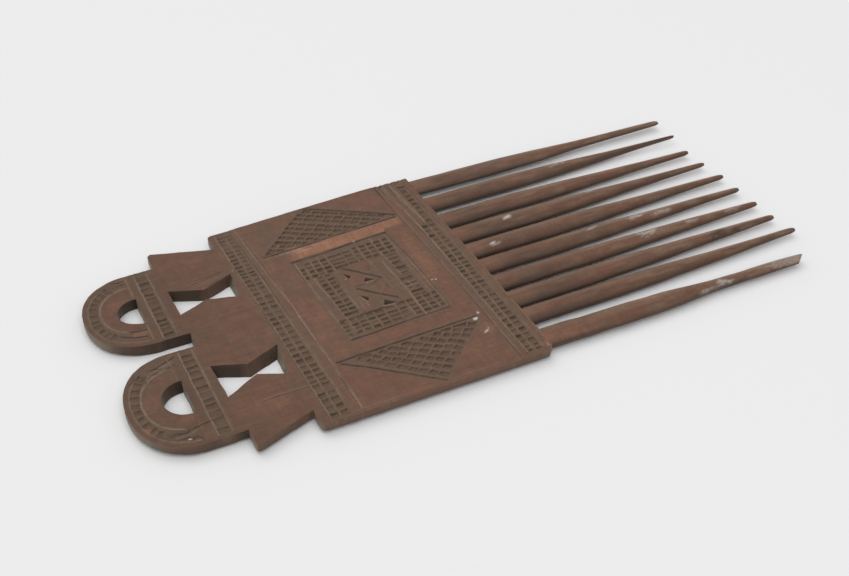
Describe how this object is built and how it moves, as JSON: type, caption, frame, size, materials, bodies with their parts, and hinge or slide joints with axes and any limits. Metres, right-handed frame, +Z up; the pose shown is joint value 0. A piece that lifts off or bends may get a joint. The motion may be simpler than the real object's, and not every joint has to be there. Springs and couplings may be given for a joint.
{
  "type": "carved wooden comb",
  "caption": "Flat carved wooden comb with long tapered teeth, a framed and hatched panel, and an openwork handle end with two D-shaped loops.",
  "frame": {"origin": "on the surface the comb rests on, under the middle of its outline", "axes": "+X along the comb toward the tips of its teeth, +Z up out of its carved front"},
  "size_m": [0.2438, 0.109, 0.0046],
  "materials": {
    "carved_wood": "dark reddish brown wood, hand worn to a dull satin, grey-brown in the carving"
  },
  "bodies": {
    "root": {"comb": "carved_wood"}
  },
  "joints": []
}
